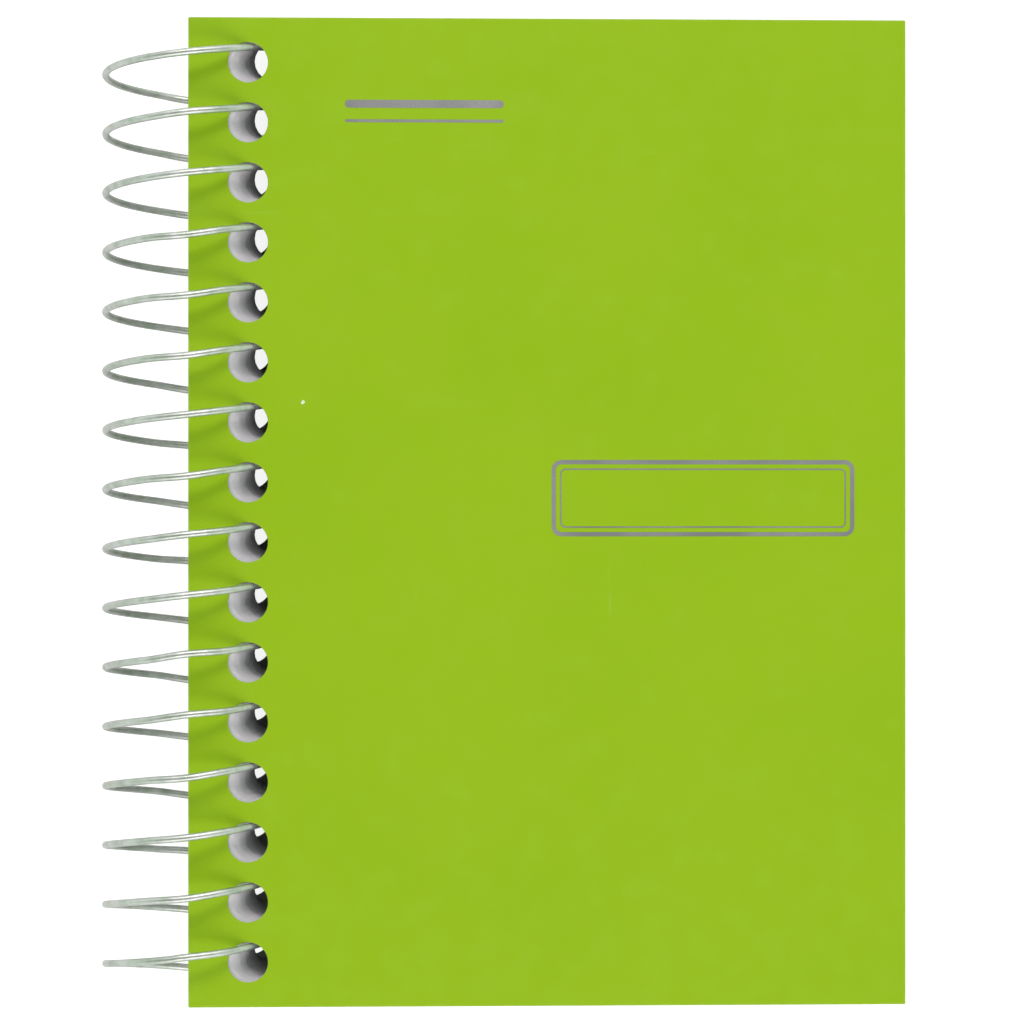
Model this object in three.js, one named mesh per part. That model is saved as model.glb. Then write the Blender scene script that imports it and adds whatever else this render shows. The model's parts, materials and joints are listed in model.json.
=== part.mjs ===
// Pocket notebook: two covers and two hundred sheets, punched along the left edge
// and bound by one spiral wire. Millimetres, +Z up, +X from the wire to the free
// edge, +Y up the page. The closed notebook lies on its back, and the origin is at
// the bottom centre of its bounding box.
//
// The wire is a true helix. Every leaf hangs on it by sixteen holes and turns about
// the helix's axis, so each leaf is placed where its holes follow the wire: further
// right towards the middle of the block, and further up towards the back. Turning a
// leaf by half a turn carries the wire half a pitch down in its holes, from a
// quarter pitch above their centres to a quarter pitch below.
import * as THREE from "three";

// Covers
const COVER_WIDTH = 101.6;
const COVER_HEIGHT = 139.7;
const COVER_THICKNESS = 0.5;
const COVER_HOLE_MARGIN = 8.4; // left edge to hole centres

// Sheets, gathered into stacks that turn as one leaf each
const SHEET_WIDTH = 98;
const SHEET_HEIGHT = 137.6;
const SHEET_HOLE_MARGIN = 7.6;
const SHEET_COUNT = 200;
const STACK_COUNT = 20;
const STACK_GAP = 0.05;
const COVER_GAP = 0.1; // between a cover and the sheets next to it

// Punched holes
const HOLE_COUNT = 16;
const HOLE_PITCH = 25.4 / 3;
const HOLE_RADIUS = 2.82;
const COVER_HOLE_SIDES = 12;
const SHEET_HOLE_SIDES = 8;

// Spiral wire
const COIL_RADIUS = 12; // axis to the middle of the wire
const WIRE_RADIUS = 0.5;
const WIRE_SIDES = 6;
const STEPS_PER_TURN = 20;
const AXIS_CLEARANCE = 0.15; // covers' left edges to the axis, so that an open cover clears the other
const CRIMP_SWEEP = THREE.MathUtils.degToRad(13); // each end of the wire bends inwards along the spine
const CRIMP_REACH = 3.2;

// Where a leaf at height z above the axis meets the wire
const ringX = (z) => Math.sqrt(COIL_RADIUS ** 2 - z ** 2);
const ringAngle = (z) => Math.asin(z / COIL_RADIUS);
const COVER_Z = Math.sqrt(COIL_RADIUS ** 2 - (COVER_HOLE_MARGIN + AXIS_CLEARANCE) ** 2);
const COVER_ANGLE = ringAngle(COVER_Z);
const PITCH_PER_RADIAN = HOLE_PITCH / (2 * Math.PI);
const climb = (z) => PITCH_PER_RADIAN * (COVER_ANGLE - ringAngle(z)); // of a leaf, above the front cover
const TOP_HOLE_Y = (HOLE_PITCH * (HOLE_COUNT - 1)) / 2;

// Laid on a flat surface, the notebook rests on the wire and on the back cover's
// free edge, which tips it a little towards that edge.
const COIL_OUTER = COIL_RADIUS + WIRE_RADIUS;
const BACK_FACE_Z = COVER_Z + COVER_THICKNESS / 2;
const FREE_EDGE_X = COVER_WIDTH + AXIS_CLEARANCE;
const REST_TILT =
  Math.asin(COIL_OUTER / Math.hypot(FREE_EDGE_X, BACK_FACE_Z)) -
  Math.atan2(BACK_FACE_Z, FREE_EDGE_X);

const coverMaterial = new THREE.MeshStandardMaterial({
  color: 0x98c22a,
  roughness: 0.45,
  metalness: 0,
});
const sheetMaterial = new THREE.MeshStandardMaterial({
  color: 0xf4f3ee,
  roughness: 0.9,
  metalness: 0,
});
const wireMaterial = new THREE.MeshStandardMaterial({
  color: 0xc9ccc8,
  roughness: 0.3,
  metalness: 1,
});

// A punched rectangle in the plane of the page, with its hole centres on x = 0.
// The holes are polygons drawn round the true circle, so no side cuts into it.
function leafShape(width, height, margin, sides) {
  const outline = new THREE.Shape();
  outline.moveTo(-margin, -height / 2);
  outline.lineTo(width - margin, -height / 2);
  outline.lineTo(width - margin, height / 2);
  outline.lineTo(-margin, height / 2);
  outline.closePath();
  const corner = HOLE_RADIUS / Math.cos(Math.PI / sides);
  for (let n = 0; n < HOLE_COUNT; n += 1) {
    const hole = new THREE.Path();
    hole.absarc(0, TOP_HOLE_Y - n * HOLE_PITCH, corner, 0, 2 * Math.PI);
    outline.holes.push(hole);
  }
  return outline;
}

// A cover is one board, punched square to its face.
function coverGeometry(z) {
  const shape = leafShape(COVER_WIDTH, COVER_HEIGHT, COVER_HOLE_MARGIN, COVER_HOLE_SIDES);
  const geometry = new THREE.ExtrudeGeometry(shape, {
    depth: COVER_THICKNESS,
    bevelEnabled: false,
    curveSegments: COVER_HOLE_SIDES / 2,
  });
  geometry.translate(ringX(z), climb(z), z - COVER_THICKNESS / 2);
  return geometry;
}

// A stack leans as its sheets do, because each sheet follows the wire by itself.
function stackGeometry(zLow, zHigh) {
  const shape = leafShape(SHEET_WIDTH, SHEET_HEIGHT, SHEET_HOLE_MARGIN, SHEET_HOLE_SIDES);
  const geometry = new THREE.ExtrudeGeometry(shape, {
    depth: zHigh - zLow,
    bevelEnabled: false,
    curveSegments: SHEET_HOLE_SIDES / 2,
  });
  geometry.translate(0, 0, zLow);
  const position = geometry.getAttribute("position");
  for (let i = 0; i < position.count; i += 1) {
    const z = position.getZ(i);
    position.setX(i, position.getX(i) + ringX(z));
    position.setY(i, position.getY(i) + climb(z));
  }
  geometry.computeVertexNormals();
  return geometry;
}

// The wire's centre line. It runs up through the top hole, over the spine to the
// left, back under the leaves and on to the next hole, and its two ends are bent
// inwards along the spine, below the back cover.
class CoilCurve extends THREE.Curve {
  constructor() {
    super();
    this.start = THREE.MathUtils.degToRad(-72);
    this.end = THREE.MathUtils.degToRad((HOLE_COUNT - 1) * 360 + 278);
    this.crimp = (2 * CRIMP_REACH) / COIL_RADIUS; // share of the parameter given to each bent end
    this.span = this.end - this.start + 2 * this.crimp;
    this.arcLengthDivisions = 4000;
  }

  getPoint(t, target = new THREE.Vector3()) {
    const along = t * this.span;
    const fromStart = Math.max(0, 1 - along / this.crimp) * (Math.PI / 2);
    const fromEnd = Math.max(0, 1 - (this.span - along) / this.crimp) * (Math.PI / 2);
    const straight = Math.min(Math.max(this.start + along - this.crimp, this.start), this.end);
    const angle = straight + CRIMP_SWEEP * (Math.sin(fromEnd) - Math.sin(fromStart));
    const bend = CRIMP_REACH * (Math.cos(fromStart) - Math.cos(fromEnd));
    const wireY = TOP_HOLE_Y + HOLE_PITCH / 4 + PITCH_PER_RADIAN * (COVER_ANGLE - angle);
    return target.set(
      COIL_RADIUS * Math.cos(angle),
      wireY + bend,
      COIL_RADIUS * Math.sin(angle),
    );
  }
}

function coilGeometry() {
  const path = new CoilCurve();
  const section = new THREE.Shape().absarc(0, 0, WIRE_RADIUS, 0, 2 * Math.PI);
  return new THREE.ExtrudeGeometry(section, {
    extrudePath: path,
    steps: Math.round((path.span / (2 * Math.PI)) * STEPS_PER_TURN),
    curveSegments: WIRE_SIDES / 2,
  });
}

const notebook = new THREE.Group();

function addPiece(name, geometry, material) {
  const mesh = new THREE.Mesh(geometry, material.clone());
  mesh.name = name;
  notebook.add(mesh);
}

addPiece("front_cover", coverGeometry(COVER_Z), coverMaterial);
addPiece("back_cover", coverGeometry(-COVER_Z), coverMaterial);
addPiece("spiral_wire", coilGeometry(), wireMaterial);

// Stacks, numbered from the front: sheets_001_010 lies under the front cover.
const BLOCK_TOP = COVER_Z - COVER_THICKNESS / 2 - COVER_GAP;
const STACK_STEP = (2 * BLOCK_TOP) / STACK_COUNT;
const SHEETS_PER_STACK = SHEET_COUNT / STACK_COUNT;
const sheetNumber = (n) => String(n).padStart(3, "0");
for (let k = 0; k < STACK_COUNT; k += 1) {
  const zHigh = BLOCK_TOP - k * STACK_STEP - STACK_GAP / 2;
  const zLow = BLOCK_TOP - (k + 1) * STACK_STEP + STACK_GAP / 2;
  const first = sheetNumber(k * SHEETS_PER_STACK + 1);
  const last = sheetNumber((k + 1) * SHEETS_PER_STACK);
  addPiece(`sheets_${first}_${last}`, stackGeometry(zLow, zHigh), sheetMaterial);
}

notebook.rotation.y = REST_TILT;
const bounds = new THREE.Box3().setFromObject(notebook, true);
const middle = bounds.getCenter(new THREE.Vector3());
notebook.position.set(-middle.x, -middle.y, -bounds.min.z);

export default notebook;
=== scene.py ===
"""Pocket notebook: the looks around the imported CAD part.

Every piece is drawn in millimetres in the wire's own frame, and one matrix takes it to the row frame:
x from the wire's axis to the free edge, y up the page, z out of the front cover.
"""
import json
import math
import random

import bmesh
import bpy
from mathutils import Matrix, Vector


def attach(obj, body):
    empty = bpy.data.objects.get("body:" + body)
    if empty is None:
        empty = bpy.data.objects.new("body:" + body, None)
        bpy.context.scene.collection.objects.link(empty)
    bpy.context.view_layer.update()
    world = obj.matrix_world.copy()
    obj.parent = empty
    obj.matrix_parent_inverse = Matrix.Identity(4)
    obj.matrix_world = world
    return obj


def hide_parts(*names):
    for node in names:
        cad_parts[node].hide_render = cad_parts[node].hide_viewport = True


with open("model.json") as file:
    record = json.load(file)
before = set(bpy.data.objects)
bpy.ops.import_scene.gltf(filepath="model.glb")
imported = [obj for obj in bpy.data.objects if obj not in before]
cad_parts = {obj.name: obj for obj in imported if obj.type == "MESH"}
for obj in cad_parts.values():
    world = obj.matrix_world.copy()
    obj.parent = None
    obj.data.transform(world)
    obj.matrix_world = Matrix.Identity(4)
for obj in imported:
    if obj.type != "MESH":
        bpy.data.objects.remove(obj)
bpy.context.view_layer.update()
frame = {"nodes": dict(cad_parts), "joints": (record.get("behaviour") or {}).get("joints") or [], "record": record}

MM = 0.001
random.seed(7)

# Binding, in millimetres, as the CAD part has it
HOLE_COUNT = 16
HOLE_PITCH = 25.4 / 3
HOLE_RADIUS = 2.82
SHEET_HOLE_MARGIN = 7.6
SHEET_WIDTH = 98
SHEET_HEIGHT = 137.6
SHEETS_PER_STACK = 10
COIL_RADIUS = 12
COIL_START = math.radians(-72)
COIL_END = math.radians((HOLE_COUNT - 1) * 360 + 278)
CRIMP_SWEEP = math.radians(13)
CRIMP_REACH = 3.2
TOP_HOLE_Y = HOLE_PITCH * (HOLE_COUNT - 1) / 2
PITCH_PER_RADIAN = HOLE_PITCH / (2 * math.pi)


# ---------------------------------------------------------------- the wire's frame

def wire_frame():
    """The matrix from millimetres in the wire's frame to metres in the row frame."""
    mount = next(m for m in frame["record"]["mounts"] if m["name"] == "front_face")
    normal = mount["axis"]
    tilt = math.atan2(normal[0], normal[2])
    hinge = Vector(frame["joints"][0]["pos_m"])
    return Matrix.Translation(hinge) @ Matrix.Rotation(tilt, 4, "Y") @ Matrix.Scale(MM, 4)


TO_ROW = wire_frame()
FROM_ROW = TO_ROW.inverted()


def local_box(node):
    """(lowest corner, highest corner) of a CAD node in the wire's frame, in millimetres."""
    points = [FROM_ROW @ v.co for v in frame["nodes"][node].data.vertices]
    low = Vector(min(p[i] for p in points) for i in range(3))
    high = Vector(max(p[i] for p in points) for i in range(3))
    return low, high


COVER_LOW, COVER_HIGH = local_box("front_cover")
COVER_Z = (COVER_LOW.z + COVER_HIGH.z) / 2
COVER_ANGLE = math.asin(COVER_Z / COIL_RADIUS)


def ring_x(z):
    """Where a leaf at height z meets the wire."""
    return math.sqrt(COIL_RADIUS ** 2 - z ** 2)


def climb(z):
    """How far a leaf at height z sits up the page from the front cover."""
    return PITCH_PER_RADIAN * (COVER_ANGLE - math.asin(z / COIL_RADIUS))


# ---------------------------------------------------------------- shader helpers

class Nodes:
    """A material's node tree, with short calls for the nodes that these finishes use."""

    def __init__(self, name, **constants):
        self.material = bpy.data.materials.new(name)
        self.material.use_nodes = True
        self.tree = self.material.node_tree
        self.shader = self.tree.nodes["Principled BSDF"]
        self.place = self.new("ShaderNodeTexCoord").outputs["Object"]
        for socket, value in constants.items():
            self.shader.inputs[socket.replace("_", " ")].default_value = value

    def new(self, kind, **settings):
        node = self.tree.nodes.new(kind)
        for key, value in settings.items():
            setattr(node, key, value)
        return node

    def put(self, value, socket):
        """Links an output to a socket, or sets the socket to a plain value."""
        if isinstance(value, bpy.types.NodeSocket):
            self.tree.links.new(value, socket)
        else:
            socket.default_value = value

    def math(self, operation, a, b=0.0, clamp=False):
        node = self.new("ShaderNodeMath", operation=operation, use_clamp=clamp)
        self.put(a, node.inputs[0])
        self.put(b, node.inputs[1])
        return node.outputs[0]

    def stretched(self, scale, source=None):
        """The coordinates, scaled along each axis."""
        node = self.new("ShaderNodeMapping")
        self.put(source or self.place, node.inputs["Vector"])
        node.inputs["Scale"].default_value = scale
        return node.outputs["Vector"]

    def noise(self, scale, detail=2.0, rough=0.5, source=None):
        node = self.new("ShaderNodeTexNoise")
        self.put(source or self.place, node.inputs["Vector"])
        node.inputs["Scale"].default_value = scale
        node.inputs["Detail"].default_value = detail
        node.inputs["Roughness"].default_value = rough
        return node.outputs["Fac"]

    def fleck(self, x, y, radius):
        """1 inside one small ragged fleck, and 0 outside."""
        aside = self.math("SUBTRACT", self.axis("X"), x)
        above = self.math("SUBTRACT", self.axis("Y"), y)
        squares = [self.math("MULTIPLY", part, part) for part in (aside, above)]
        away = self.math("SQRT", self.math("ADD", *squares))
        ragged = self.math("MULTIPLY", self.noise(4.0, detail=3.0), 2 * radius)
        return self.math("LESS_THAN", away, ragged)

    def remap(self, value, low, high, to_low=0.0, to_high=1.0):
        node = self.new("ShaderNodeMapRange")
        self.put(value, node.inputs["Value"])
        for socket, number in zip(("From Min", "From Max", "To Min", "To Max"),
                                  (low, high, to_low, to_high)):
            node.inputs[socket].default_value = number
        return node.outputs["Result"]

    def mix(self, share, a, b):
        """Colour a where share is 0, b where it is 1."""
        node = self.new("ShaderNodeMix", data_type="RGBA")
        self.put(share, node.inputs[0])
        self.put(a, node.inputs[6])
        self.put(b, node.inputs[7])
        return node.outputs[2]

    def axis(self, name):
        """One coordinate, in millimetres."""
        node = self.new("ShaderNodeSeparateXYZ")
        self.put(self.place, node.inputs[0])
        return node.outputs[name]

    def bump(self, height, distance, strength=1.0):
        node = self.new("ShaderNodeBump")
        self.put(height, node.inputs["Height"])
        node.inputs["Distance"].default_value = distance
        node.inputs["Strength"].default_value = strength
        self.put(node.outputs["Normal"], self.shader.inputs["Normal"])

    def finish(self, colour, roughness):
        self.put(colour, self.shader.inputs["Base Color"])
        self.put(roughness, self.shader.inputs["Roughness"])
        return self.material


def rgb(red, green, blue):
    """A colour for a socket, from linear values."""
    return (red, green, blue, 1.0)


# ---------------------------------------------------------------- materials

FLECK_ACROSS = 16.2  # from the cover's left edge
FLECK_DOWN = 54.3  # from its top edge
FLECK_RADIUS = 0.28
WEAR_WIDTH = 0.35  # how far in from its outline the cover is worn


def cover_material():
    """Lime-green laminated card: satin, with mottling, hair scuffs, one white fleck and paler edges."""
    m = Nodes("cover_green", IOR=1.46, Specular_IOR_Level=0.42)
    mottle = m.noise(0.035, detail=3.0)
    patches = m.noise(0.22, detail=4.0, rough=0.6)
    colour = m.mix(m.remap(mottle, 0.35, 0.65), rgb(0.250, 0.443, 0.0006), rgb(0.262, 0.455, 0.0020))
    colour = m.mix(m.remap(patches, 0.55, 0.8, 0.0, 0.3), colour, rgb(0.274, 0.464, 0.006))
    scuffs = [m.noise(0.9, detail=6.0, rough=0.7, source=m.stretched(scale))
              for scale in ((0.06, 1.3, 1.0), (0.9, 0.05, 1.0))]
    scuff = m.math("MAXIMUM", *(m.remap(s, 0.66, 0.74) for s in scuffs))
    worn = edge_wear(m)
    colour = m.mix(m.math("MULTIPLY", scuff, 0.10), colour, rgb(0.42, 0.6, 0.1))
    colour = m.mix(m.math("MULTIPLY", worn, 0.35), colour, rgb(0.45, 0.62, 0.12))
    fleck = m.fleck(COVER_LOW.x + FLECK_ACROSS, COVER_HIGH.y - FLECK_DOWN, FLECK_RADIUS)
    colour = m.mix(m.math("MULTIPLY", fleck, 0.8), colour, rgb(0.8, 0.85, 0.7))
    grain = m.noise(7.0, detail=3.0, rough=0.6)
    swell = m.noise(0.6, detail=2.0)
    height = m.math("ADD", m.math("MULTIPLY", grain, 0.35), swell)
    m.bump(height, 0.012 * MM, 0.7)
    roughness = m.math("ADD", m.remap(patches, 0.3, 0.7, 0.38, 0.47), m.math("MULTIPLY", scuff, 0.12))
    return m.finish(colour, roughness)


def edge_wear(m):
    """1 in a thin broken line along the cover's outline, and 0 inside."""
    across, up = m.axis("X"), m.axis("Y")
    middle, half = (COVER_LOW + COVER_HIGH) / 2, (COVER_HIGH - COVER_LOW) / 2
    from_side = m.math("SUBTRACT", half.x, m.math("ABSOLUTE", m.math("SUBTRACT", across, middle.x)))
    from_end = m.math("SUBTRACT", half.y, m.math("ABSOLUTE", m.math("SUBTRACT", up, middle.y)))
    near = m.remap(m.math("MINIMUM", from_side, from_end), 0.0, WEAR_WIDTH, 1.0, 0.0)
    return m.math("MULTIPLY", near, m.remap(m.noise(0.5, detail=5.0, rough=0.7), 0.4, 0.65))


def lining_material():
    """The covers' inner faces and cut edges: off-white card."""
    m = Nodes("cover_lining", Specular_IOR_Level=0.3)
    fibre = m.noise(2.2, detail=6.0, rough=0.7, source=m.stretched((0.35, 1.0, 1.0)))
    cloud = m.noise(0.05, detail=2.0)
    colour = m.mix(m.remap(cloud, 0.3, 0.7), rgb(0.655, 0.65, 0.625), rgb(0.675, 0.67, 0.645))
    colour = m.mix(m.remap(fibre, 0.58, 0.75, 0.0, 0.3), colour, rgb(0.52, 0.505, 0.46))
    m.bump(fibre, 0.02 * MM, 0.8)
    return m.finish(colour, m.remap(fibre, 0.3, 0.7, 0.62, 0.78))


RULE_SPACING = 7.1
RULE_WIDTH = 0.22
FIRST_RULE_Y = 52.0  # height of the top line above the middle of the page
RULE_MARGIN = 5.5  # from the coil's outermost reach to the start of a line


def page_material():
    """Writing paper: white, matt, faintly fibrous, with pale blue ruled lines."""
    m = Nodes("page", Specular_IOR_Level=0.25)
    fibre = m.noise(3.0, detail=6.0, rough=0.75, source=m.stretched((1.0, 0.4, 1.0)))
    cloud = m.noise(0.25, detail=4.0, rough=0.6)
    colour = m.mix(m.remap(cloud, 0.3, 0.7), rgb(0.64, 0.645, 0.65), rgb(0.665, 0.67, 0.675))
    colour = m.mix(m.remap(fibre, 0.6, 0.8, 0.0, 0.3), colour, rgb(0.60, 0.59, 0.56))
    up = m.math("SUBTRACT", m.axis("Y"), FIRST_RULE_Y)
    step = m.math("PINGPONG", up, RULE_SPACING / 2)
    line = m.math("LESS_THAN", step, RULE_WIDTH / 2)
    below = m.math("LESS_THAN", up, RULE_WIDTH)
    inside = m.math("GREATER_THAN", m.axis("X"), COIL_RADIUS + RULE_MARGIN)
    ink = m.math("MULTIPLY", m.math("MULTIPLY", line, below), inside)
    fade = m.remap(m.noise(1.4, detail=3.0), 0.3, 0.7, 0.5, 0.75)
    colour = m.mix(m.math("MULTIPLY", ink, fade), colour, rgb(0.30, 0.47, 0.68))
    m.bump(fibre, 0.012 * MM, 0.7)
    return m.finish(colour, m.remap(fibre, 0.3, 0.7, 0.78, 0.92))


def page_edge_material():
    """The sheets' cut edges: off-white, streaked along the cut."""
    m = Nodes("page_edge", Specular_IOR_Level=0.2)
    streak = m.noise(1.5, detail=5.0, rough=0.7, source=m.stretched((0.25, 0.25, 6.0)))
    dust = m.noise(0.4, detail=4.0)
    colour = m.mix(m.remap(streak, 0.35, 0.7), rgb(0.86, 0.865, 0.87), rgb(0.76, 0.765, 0.77))
    colour = m.mix(m.remap(dust, 0.5, 0.8, 0.0, 0.3), colour, rgb(0.76, 0.74, 0.71))
    m.bump(streak, 0.02 * MM, 0.6)
    return m.finish(colour, m.remap(streak, 0.3, 0.7, 0.85, 0.95))


def wire_material():
    """Satin drawn steel: soft streaks along the wire, and random patches of faint green cast painted into its
    colour as a painted reflection of the green cover.
    """
    m = Nodes("drawn_steel", Metallic=1.0)
    along = m.new("ShaderNodeTexCoord").outputs["UV"]
    drawn = m.noise(1.0, detail=5.0, rough=0.65, source=m.stretched((24.0, 12.0, 1.0), along))
    # painted reflection: random patches shift the steel's colour toward green, standing in for the green cover
    # reflected in the wire
    painted_cover_reflection = m.noise(0.5, detail=4.0, rough=0.6)
    colour = m.mix(m.remap(painted_cover_reflection, 0.4, 0.75), rgb(0.58, 0.61, 0.57), rgb(0.36, 0.43, 0.335))
    colour = m.mix(m.remap(drawn, 0.55, 0.8, 0.0, 0.4), colour, rgb(0.50, 0.52, 0.48))
    m.bump(drawn, 0.004 * MM, 0.4)
    return m.finish(colour, m.remap(drawn, 0.3, 0.7, 0.38, 0.48))


def foil_material():
    """Hot-stamped silver foil: mid grey and slightly pitted."""
    m = Nodes("silver_foil", Metallic=1.0)
    pits = m.noise(4.5, detail=4.0, rough=0.6)
    cloud = m.noise(0.11, detail=2.0)
    colour = m.mix(m.remap(cloud, 0.35, 0.65), rgb(0.58, 0.58, 0.575), rgb(0.42, 0.43, 0.425))
    colour = m.mix(m.remap(pits, 0.4, 0.65, 0.0, 0.5), colour, rgb(0.27, 0.275, 0.275))
    m.bump(pits, 0.01 * MM, 0.6)
    return m.finish(colour, m.remap(pits, 0.3, 0.7, 0.36, 0.52))


# ---------------------------------------------------------------- meshes

def add_object(name, mesh, materials, body, slot, *nodes):
    """Puts a mesh drawn in the wire's frame into the scene, riding a body and standing for CAD nodes."""
    piece = bpy.data.objects.new(name, mesh)
    for material in materials:
        mesh.materials.append(material)
    bpy.context.scene.collection.objects.link(piece)
    piece.matrix_world = TO_ROW
    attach(piece, body)
    if nodes:
        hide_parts(*nodes)
    return piece


def ring(bm, points, z):
    return [bm.verts.new((x, y, z)) for x, y in points]


def rounded_rectangle(low, high, radius, inset, steps):
    """Outline points, counter-clockwise, of a rectangle with round corners, drawn in by inset."""
    points = []
    corners = ((high.x, high.y, 0), (low.x, high.y, 1), (low.x, low.y, 2), (high.x, low.y, 3))
    for x, y, quarter in corners:
        middle_x = x + (-radius if quarter in (0, 3) else radius)
        middle_y = y + (-radius if quarter in (0, 1) else radius)
        for k in range(steps + 1):
            angle = (quarter + k / steps) * math.pi / 2
            points.append((middle_x + (radius - inset) * math.cos(angle),
                           middle_y + (radius - inset) * math.sin(angle)))
    return points


def circle(x, y, radius, sides):
    return [(x + radius * math.cos(2 * math.pi * k / sides), y + radius * math.sin(2 * math.pi * k / sides))
            for k in range(sides)]


def punched_leaf(low, high, hole_x, hole_y, profile, corner, corner_steps, sides):
    """A punched board as a bmesh. profile lists (inset, height) from its lower face round the edge
    to its upper face, and the same steps run down every hole."""
    bm = bmesh.new()
    outlines = []
    for inset, z in profile:
        rings = [ring(bm, rounded_rectangle(low, high, corner, inset, corner_steps), z)]
        for n in range(HOLE_COUNT):
            y = hole_y + TOP_HOLE_Y - n * HOLE_PITCH
            rings.append(ring(bm, circle(hole_x, y, HOLE_RADIUS + inset, sides), z))
        outlines.append(rings)
    for lower, upper in zip(outlines, outlines[1:]):
        for index, (a, b) in enumerate(zip(lower, upper)):
            for k in range(len(a)):
                k2 = (k + 1) % len(a)
                face = (a[k], a[k2], b[k2], b[k]) if index == 0 else (a[k2], a[k], b[k], b[k2])
                bm.faces.new(face)
    bm.normal_update()
    for rings, up in ((outlines[0], -1), (outlines[-1], 1)):
        edges = [bm.edges.get((loop[k], loop[(k + 1) % len(loop)]))
                 for loop in rings for k in range(len(loop))]
        cap = bmesh.ops.triangle_fill(bm, use_beauty=True, edges=edges, normal=(0, 0, up))
        for face in (g for g in cap["geom"] if isinstance(g, bmesh.types.BMFace)):
            face.normal_update()
            if face.normal.z * up < 0:
                face.normal_flip()
    bm.normal_update()
    return bm


def to_mesh(bm, name):
    mesh = bpy.data.meshes.new(name)
    bm.to_mesh(mesh)
    bm.free()
    return mesh


# ---------------------------------------------------------------- covers

COVER_EDGE = 0.09  # roundness of the cut edges
COVER_CORNER = 0.2
COVER_CORNER_STEPS = 6
COVER_HOLE_SIDES = 56
SOFT_STEPS = 3


def edge_profile(low, high, soften):
    """(inset, height) steps round an edge that is softened at both faces."""
    steps = []
    for k in range(SOFT_STEPS + 1):
        angle = k / SOFT_STEPS * math.pi / 2
        steps.append((soften * (1 - math.sin(angle)), low + soften * (1 - math.cos(angle))))
    return steps + [(inset, low + high - z) for inset, z in reversed(steps)]


def make_cover(name, outward, green, lining):
    """A cover board. outward is 1 where its printed face looks up, and -1 where it looks down."""
    low, high = local_box(name)
    z = (low.z + high.z) / 2
    bm = punched_leaf(low, high, ring_x(z), climb(z), edge_profile(low.z, high.z, COVER_EDGE),
                      COVER_CORNER, COVER_CORNER_STEPS, COVER_HOLE_SIDES)
    for face in bm.faces:
        flat = abs(face.normal.z) > 0.999
        face.smooth = not flat
        centre = face.calc_center_median()
        printed = (centre.z - z) * outward > 0.1 * (high.z - low.z)
        face.material_index = 0 if printed else 1
    return add_object(name + "_board", to_mesh(bm, name), [green, lining], name_body(name), "cover", name)


def name_body(node):
    """The CAD body that holds a node."""
    bodies = frame["record"]["behaviour"]["bodies"]
    return next(body for body, members in bodies.items() if node in members)


# ---------------------------------------------------------------- foil decoration

FOIL_RISE = 0.02
FOIL_SUNK = 0.03


def foil_strip(bm, outer, inner=None):
    """A closed flat strip of foil on the front cover, filled, or a frame if it has an inner outline."""
    loops = [outer] + ([inner] if inner else [])
    levels = [COVER_HIGH.z - FOIL_SUNK, COVER_HIGH.z + FOIL_RISE]
    rings = [[ring(bm, loop, z) for loop in loops] for z in levels]
    for index, (a, b) in enumerate(zip(*rings)):
        for k in range(len(a)):
            k2 = (k + 1) % len(a)
            bm.faces.new((a[k], a[k2], b[k2], b[k]) if index == 0 else (a[k2], a[k], b[k], b[k2]))
    for side, level in ((-1, rings[0]), (1, rings[1])):
        if inner:
            a, b = level
            for k in range(len(a)):
                k2 = (k + 1) % len(a)
                bm.faces.new((a[k], a[k2], b[k2], b[k]) if side == 1 else (a[k2], a[k], b[k], b[k2]))
        else:
            bm.faces.new(level[0] if side == 1 else reversed(level[0]))


RULES_PLACE = Vector((-17.5, 56.2))  # from the middle of the cover
RULES_LENGTH = 22.4
RULES = ((1.5, 1.1, 0.5), (-0.9, 0.4, 0.19))  # height above the place, thickness, corner radius
PLATE_PLACE = Vector((22.0, 2.0))  # from the middle of the cover
PLATE_WIDTH = 43.0
PLATE_HEIGHT = 10.8
PLATE_FRAMES = ((0.0, 1.4, 0.6), (2.4, 0.8, 0.2))  # smaller by, corner radius, line width
BAR_CORNER_STEPS = 8


def bar(x, y, width, height, corner, inset=0.0):
    """The outline of a bar or a frame with round corners."""
    low = Vector((x - width / 2, y - height / 2, 0))
    high = Vector((x + width / 2, y + height / 2, 0))
    return rounded_rectangle(low, high, corner, inset, BAR_CORNER_STEPS)


def make_foil(foil):
    """A plain decoration: two short rules near the top, and a blank title plate in a double frame."""
    middle = ((COVER_LOW + COVER_HIGH) / 2).xy
    rules = bmesh.new()
    x, y = middle + RULES_PLACE
    for rise, thickness, corner in RULES:
        foil_strip(rules, bar(x, y + rise, RULES_LENGTH, thickness, corner))
    plate = bmesh.new()
    x, y = middle + PLATE_PLACE
    for smaller, corner, line in PLATE_FRAMES:
        size = (PLATE_WIDTH - smaller, PLATE_HEIGHT - smaller)
        foil_strip(plate, bar(x, y, *size, corner), bar(x, y, *size, corner, line))
    for name, bm in (("foil_rules", rules), ("foil_plate", plate)):
        add_object(name, to_mesh(bm, name), [foil], name_body("front_cover"), None)


# ---------------------------------------------------------------- sheets

SHEET_GAP = 0.006
SHEET_HOLE_SIDES = 20
SHEET_CORNER = 0.25
SHEET_CORNER_STEPS = 2
SHEET_SHIFT = 0.11  # how far a sheet may sit off its neighbours


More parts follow.
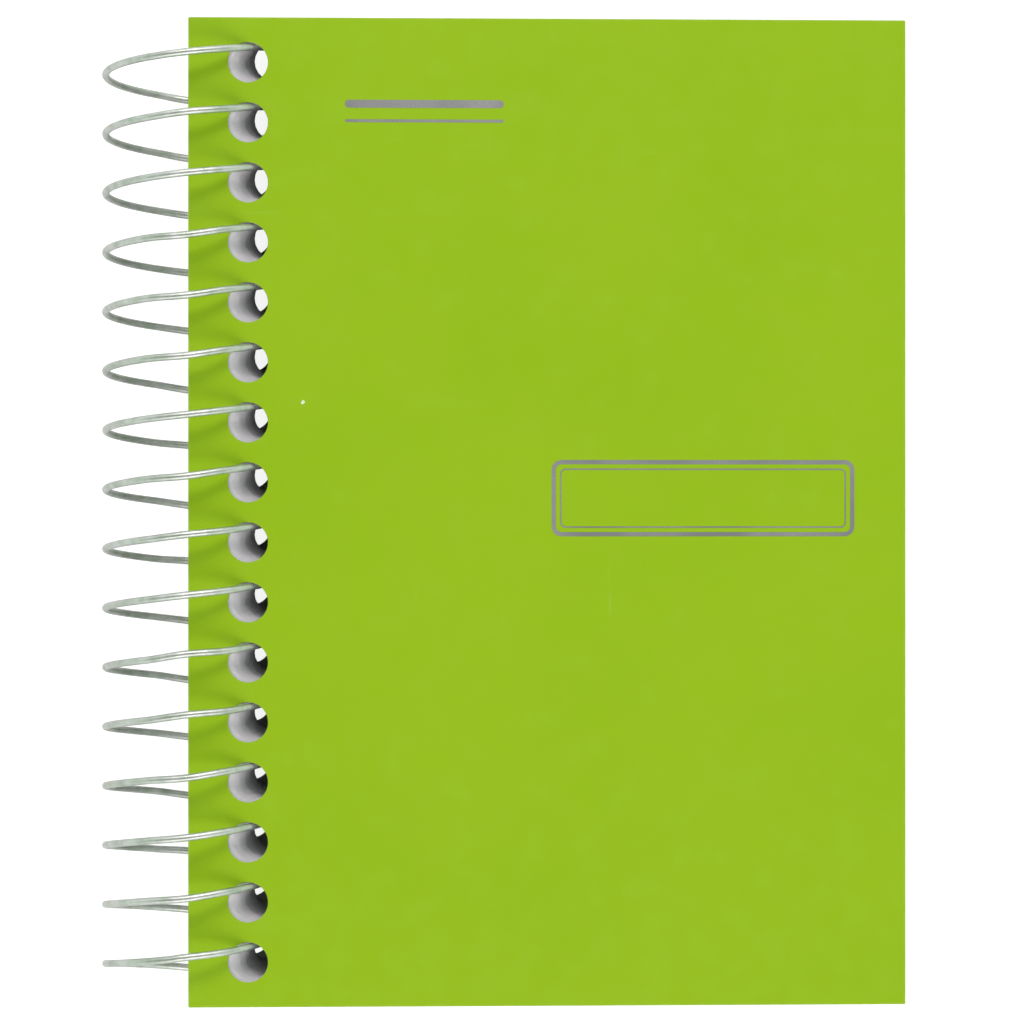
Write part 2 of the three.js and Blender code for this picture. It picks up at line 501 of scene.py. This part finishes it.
def sheet_template():
    """One sheet of unit thickness with its hole line on x = 0.

    Returns its points, its faces, and which of the faces are its two pages.
    """
    low = Vector((-SHEET_HOLE_MARGIN, -SHEET_HEIGHT / 2, 0))
    high = Vector((SHEET_WIDTH - SHEET_HOLE_MARGIN, SHEET_HEIGHT / 2, 1))
    bm = punched_leaf(low, high, 0.0, 0.0, [(0.0, 0.0), (0.0, 1.0)],
                      SHEET_CORNER, SHEET_CORNER_STEPS, SHEET_HOLE_SIDES)
    bm.verts.index_update()
    points = [tuple(v.co) for v in bm.verts]
    faces = [[v.index for v in f.verts] for f in bm.faces]
    pages = [abs(f.normal.z) > 0.9 for f in bm.faces]
    bm.free()
    return points, faces, pages


def make_stack(node, template, page, edge):
    """Ten separate sheets, each set on the wire at its own height and a little off its neighbours."""
    points, faces, pages = template
    low, high = local_box(node)
    step = (high.z - low.z) / SHEETS_PER_STACK
    all_points, all_faces, all_slots = [], [], []
    for k in range(SHEETS_PER_STACK):
        z = low.z + k * step
        shift_x = ring_x(z + step / 2) + random.uniform(-SHEET_SHIFT, SHEET_SHIFT)
        shift_y = climb(z + step / 2) + random.uniform(-SHEET_SHIFT, SHEET_SHIFT)
        first = len(all_points)
        all_points += [(x + shift_x, y + shift_y, z + SHEET_GAP / 2 + t * (step - SHEET_GAP))
                       for x, y, t in points]
        all_faces += [[first + i for i in face] for face in faces]
        all_slots += [0 if is_page else 1 for is_page in pages]
    mesh = bpy.data.meshes.new(node + "_pages")
    mesh.from_pydata(all_points, [], all_faces)
    mesh.polygons.foreach_set("material_index", all_slots)
    mesh.update()
    return add_object(node + "_pages", mesh, [page, edge], name_body(node), "paper", node)


# ---------------------------------------------------------------- wire

WIRE_RADIUS = 0.515  # a little thicker than the CAD part's six-sided wire
WIRE_STEPS_PER_TURN = 110
WIRE_SIDES = 18
SWAY = 0.26  # most that a half-turn leans sideways; in the closed notebook no hole bears on it there
TIP_ROUND = 4  # rings that round off each end
TIP_SWEEP = math.radians(80)


def sway_at(angle, leans):
    """Sideways lean of the wire where it runs free of the closed notebook's covers and sheets."""
    turn = angle / math.pi
    half_turn = math.floor(turn)
    share = (turn - half_turn) * 3 - 1
    if not 0 < share < 1:
        return 0.0
    return SWAY * leans[half_turn % len(leans)] * math.sin(math.pi * share) ** 2


def coil_point(along, crimp, span, leans):
    """The wire's centre line, with its two ends bent inwards along the spine."""
    from_start = max(0.0, 1 - along / crimp) * math.pi / 2
    from_end = max(0.0, 1 - (span - along) / crimp) * math.pi / 2
    straight = min(max(COIL_START + along - crimp, COIL_START), COIL_END)
    angle = straight + CRIMP_SWEEP * (math.sin(from_end) - math.sin(from_start))
    bend = CRIMP_REACH * (math.cos(from_start) - math.cos(from_end))
    y = TOP_HOLE_Y + HOLE_PITCH / 4 + PITCH_PER_RADIAN * (COVER_ANGLE - angle)
    free = COIL_START + math.pi < straight < COIL_END - math.pi
    lean = sway_at(straight, leans) if free else 0.0
    return Vector((COIL_RADIUS * math.cos(angle), y + bend + lean, COIL_RADIUS * math.sin(angle)))


def tube(path, radius, sides):
    """A closed tube with rounded tips along a path, with v round it and u along it in its UV map."""
    stations = [(path[0], (path[1] - path[0]).normalized(), radius)]
    for a, b, c in zip(path, path[1:], path[2:]):
        stations.append((b, (c - a).normalized(), radius))
    stations.append((path[-1], (path[-1] - path[-2]).normalized(), radius))
    for end in (0, -1):
        centre, forward, _ = stations[end]
        out = -forward if end == 0 else forward
        for k in range(1, TIP_ROUND + 1):
            angle = k / TIP_ROUND * TIP_SWEEP
            tip = (centre + out * (radius * math.sin(angle)), forward, radius * math.cos(angle))
            stations.insert(0, tip) if end == 0 else stations.append(tip)
    bm = bmesh.new()
    uv = bm.loops.layers.uv.new("along")
    side = stations[0][1].orthogonal().normalized()
    rings, travelled, last = [], [], stations[0][0]
    for centre, forward, size in stations:
        side = (side - forward * side.dot(forward)).normalized()
        other = forward.cross(side)
        rings.append([bm.verts.new(centre + (side * math.cos(a) + other * math.sin(a)) * size)
                      for a in (2 * math.pi * k / sides for k in range(sides))])
        travelled.append((travelled[-1] if travelled else 0.0) + (centre - last).length)
        last = centre
    length = travelled[-1]
    for n, (a, b) in enumerate(zip(rings, rings[1:])):
        for k in range(sides):
            k2 = (k + 1) % sides
            face = bm.faces.new((a[k], a[k2], b[k2], b[k]))
            face.smooth = True
            corners = ((n, k), (n, k + 1), (n + 1, k + 1), (n + 1, k))
            for loop, (i, j) in zip(face.loops, corners):
                loop[uv].uv = (travelled[i] / length, j / sides)
    bm.faces.new(list(reversed(rings[0])))
    bm.faces.new(rings[-1])
    bmesh.ops.recalc_face_normals(bm, faces=bm.faces)
    return bm


def make_wire(steel):
    crimp = 2 * CRIMP_REACH / COIL_RADIUS
    span = COIL_END - COIL_START + 2 * crimp
    count = round(span / (2 * math.pi) * WIRE_STEPS_PER_TURN)
    leans = [random.uniform(-1, 1) for _ in range(2 * HOLE_COUNT + 2)]
    path = [coil_point(k / count * span, crimp, span, leans) for k in range(count + 1)]
    mesh = to_mesh(tube(path, WIRE_RADIUS, WIRE_SIDES), "spiral_wire_drawn")
    return add_object("spiral_wire_drawn", mesh, [steel], name_body("spiral_wire"), "wire", "spiral_wire")


# ---------------------------------------------------------------- stage

CAMERA_HEIGHT = 0.550  # metres above the front cover
PICTURE_WIDTH = 144.94  # what the view spans at the cover, in millimetres
CAMERA_ASIDE = Vector((-5.1, 0.04)) * MM  # from the middle of the cover


def make_camera():
    """Straight above the notebook, as far off as the picture's perspective says."""
    camera = bpy.data.cameras.new("camera")
    camera.sensor_width = 36.0
    camera.lens = camera.sensor_width * CAMERA_HEIGHT / (PICTURE_WIDTH * MM)
    camera.clip_start, camera.clip_end = 0.01, 20
    holder = bpy.data.objects.new("camera", camera)
    middle = TO_ROW @ ((COVER_LOW + COVER_HIGH) / 2)
    holder.location = (*(middle.xy + CAMERA_ASIDE), middle.z + CAMERA_HEIGHT)
    bpy.context.scene.collection.objects.link(holder)
    bpy.context.scene.camera = holder


KEY_TINT = (1.0, 0.86, 0.95)  # the softboxes are a little pink, against the faintly green room
ROOM_TINT = rgb(0.90, 1.0, 0.93)
DIM_CEILING = rgb(0.150, 0.168, 0.158)
ROOM_STRENGTH = 1.22
FLOOR_GLOW = 0.88
FLOOR_HALF_WIDTH = 4.0  # metres

# Softboxes, past the top and the bottom of the page: name, place and size in metres, watts
SOFTBOXES = (
    ("softbox_top", (0.05, 0.75, 0.75), (0.7, 0.3), 5.6),
    ("softbox_bottom", (0.05, -0.75, 0.75), (1.0, 0.45), 5.0),
)
LIGHT_TARGET = Vector((0, 0, 0.01))


def area_light(name, place, size, power):
    light = bpy.data.lights.new(name, "AREA")
    light.shape = "RECTANGLE"
    light.size, light.size_y = size
    light.energy = power
    light.color = KEY_TINT
    holder = bpy.data.objects.new(name, light)
    holder.location = place
    direction = LIGHT_TARGET - Vector(place)
    holder.rotation_euler = direction.to_track_quat("-Z", "Y").to_euler()
    bpy.context.scene.collection.objects.link(holder)


def make_world():
    """A studio that is bright round the sides and dim overhead, where the camera hangs."""
    world = bpy.data.worlds.new("studio")
    world.use_nodes = True
    tree = world.node_tree
    background = tree.nodes["Background"]
    direction = tree.nodes.new("ShaderNodeTexCoord")
    split = tree.nodes.new("ShaderNodeSeparateXYZ")
    ramp = tree.nodes.new("ShaderNodeValToRGB")
    tree.links.new(direction.outputs["Generated"], split.inputs[0])
    tree.links.new(split.outputs["Z"], ramp.inputs["Fac"])
    tree.links.new(ramp.outputs["Color"], background.inputs["Color"])
    ramp.color_ramp.elements[0].color = ROOM_TINT
    ramp.color_ramp.elements[0].position = 0.3
    ramp.color_ramp.elements[1].color = DIM_CEILING
    ramp.color_ramp.elements[1].position = 0.95
    background.inputs["Strength"].default_value = ROOM_STRENGTH
    bpy.context.scene.world = world


def floor_material():
    """A pale table. The camera sees it glow white; everything on it sees a plain white surface."""
    m = Nodes("pale_floor", Specular_IOR_Level=0.2)
    m.shader.inputs["Emission Color"].default_value = rgb(1, 1, 1)
    seen = m.new("ShaderNodeLightPath").outputs["Is Camera Ray"]
    m.put(m.math("MULTIPLY", seen, FLOOR_GLOW), m.shader.inputs["Emission Strength"])
    shade = m.remap(m.noise(3.0), 0.3, 0.7)
    white = m.mix(shade, rgb(0.86, 0.86, 0.86), rgb(0.88, 0.88, 0.88))
    return m.finish(m.mix(seen, white, rgb(0.33, 0.33, 0.335)), 0.7)


def make_stage():
    bpy.context.scene.view_settings.view_transform = "Standard"
    make_world()
    for softbox in SOFTBOXES:
        area_light(*softbox)
    bm = bmesh.new()
    bmesh.ops.create_grid(bm, x_segments=1, y_segments=1, size=FLOOR_HALF_WIDTH)
    mesh = to_mesh(bm, "floor")
    mesh.materials.append(floor_material())
    floor = bpy.data.objects.new("floor", mesh)
    bpy.context.scene.collection.objects.link(floor)


# ---------------------------------------------------------------- the notebook

make_camera()
make_stage()
green, lining = cover_material(), lining_material()
make_cover("front_cover", 1, green, lining)
make_cover("back_cover", -1, green, lining)
make_foil(foil_material())
make_wire(wire_material())
page, page_edge = page_material(), page_edge_material()
template = sheet_template()
for stack in sorted(n for n in frame["nodes"] if n.startswith("sheets_")):
    make_stack(stack, template, page, page_edge)
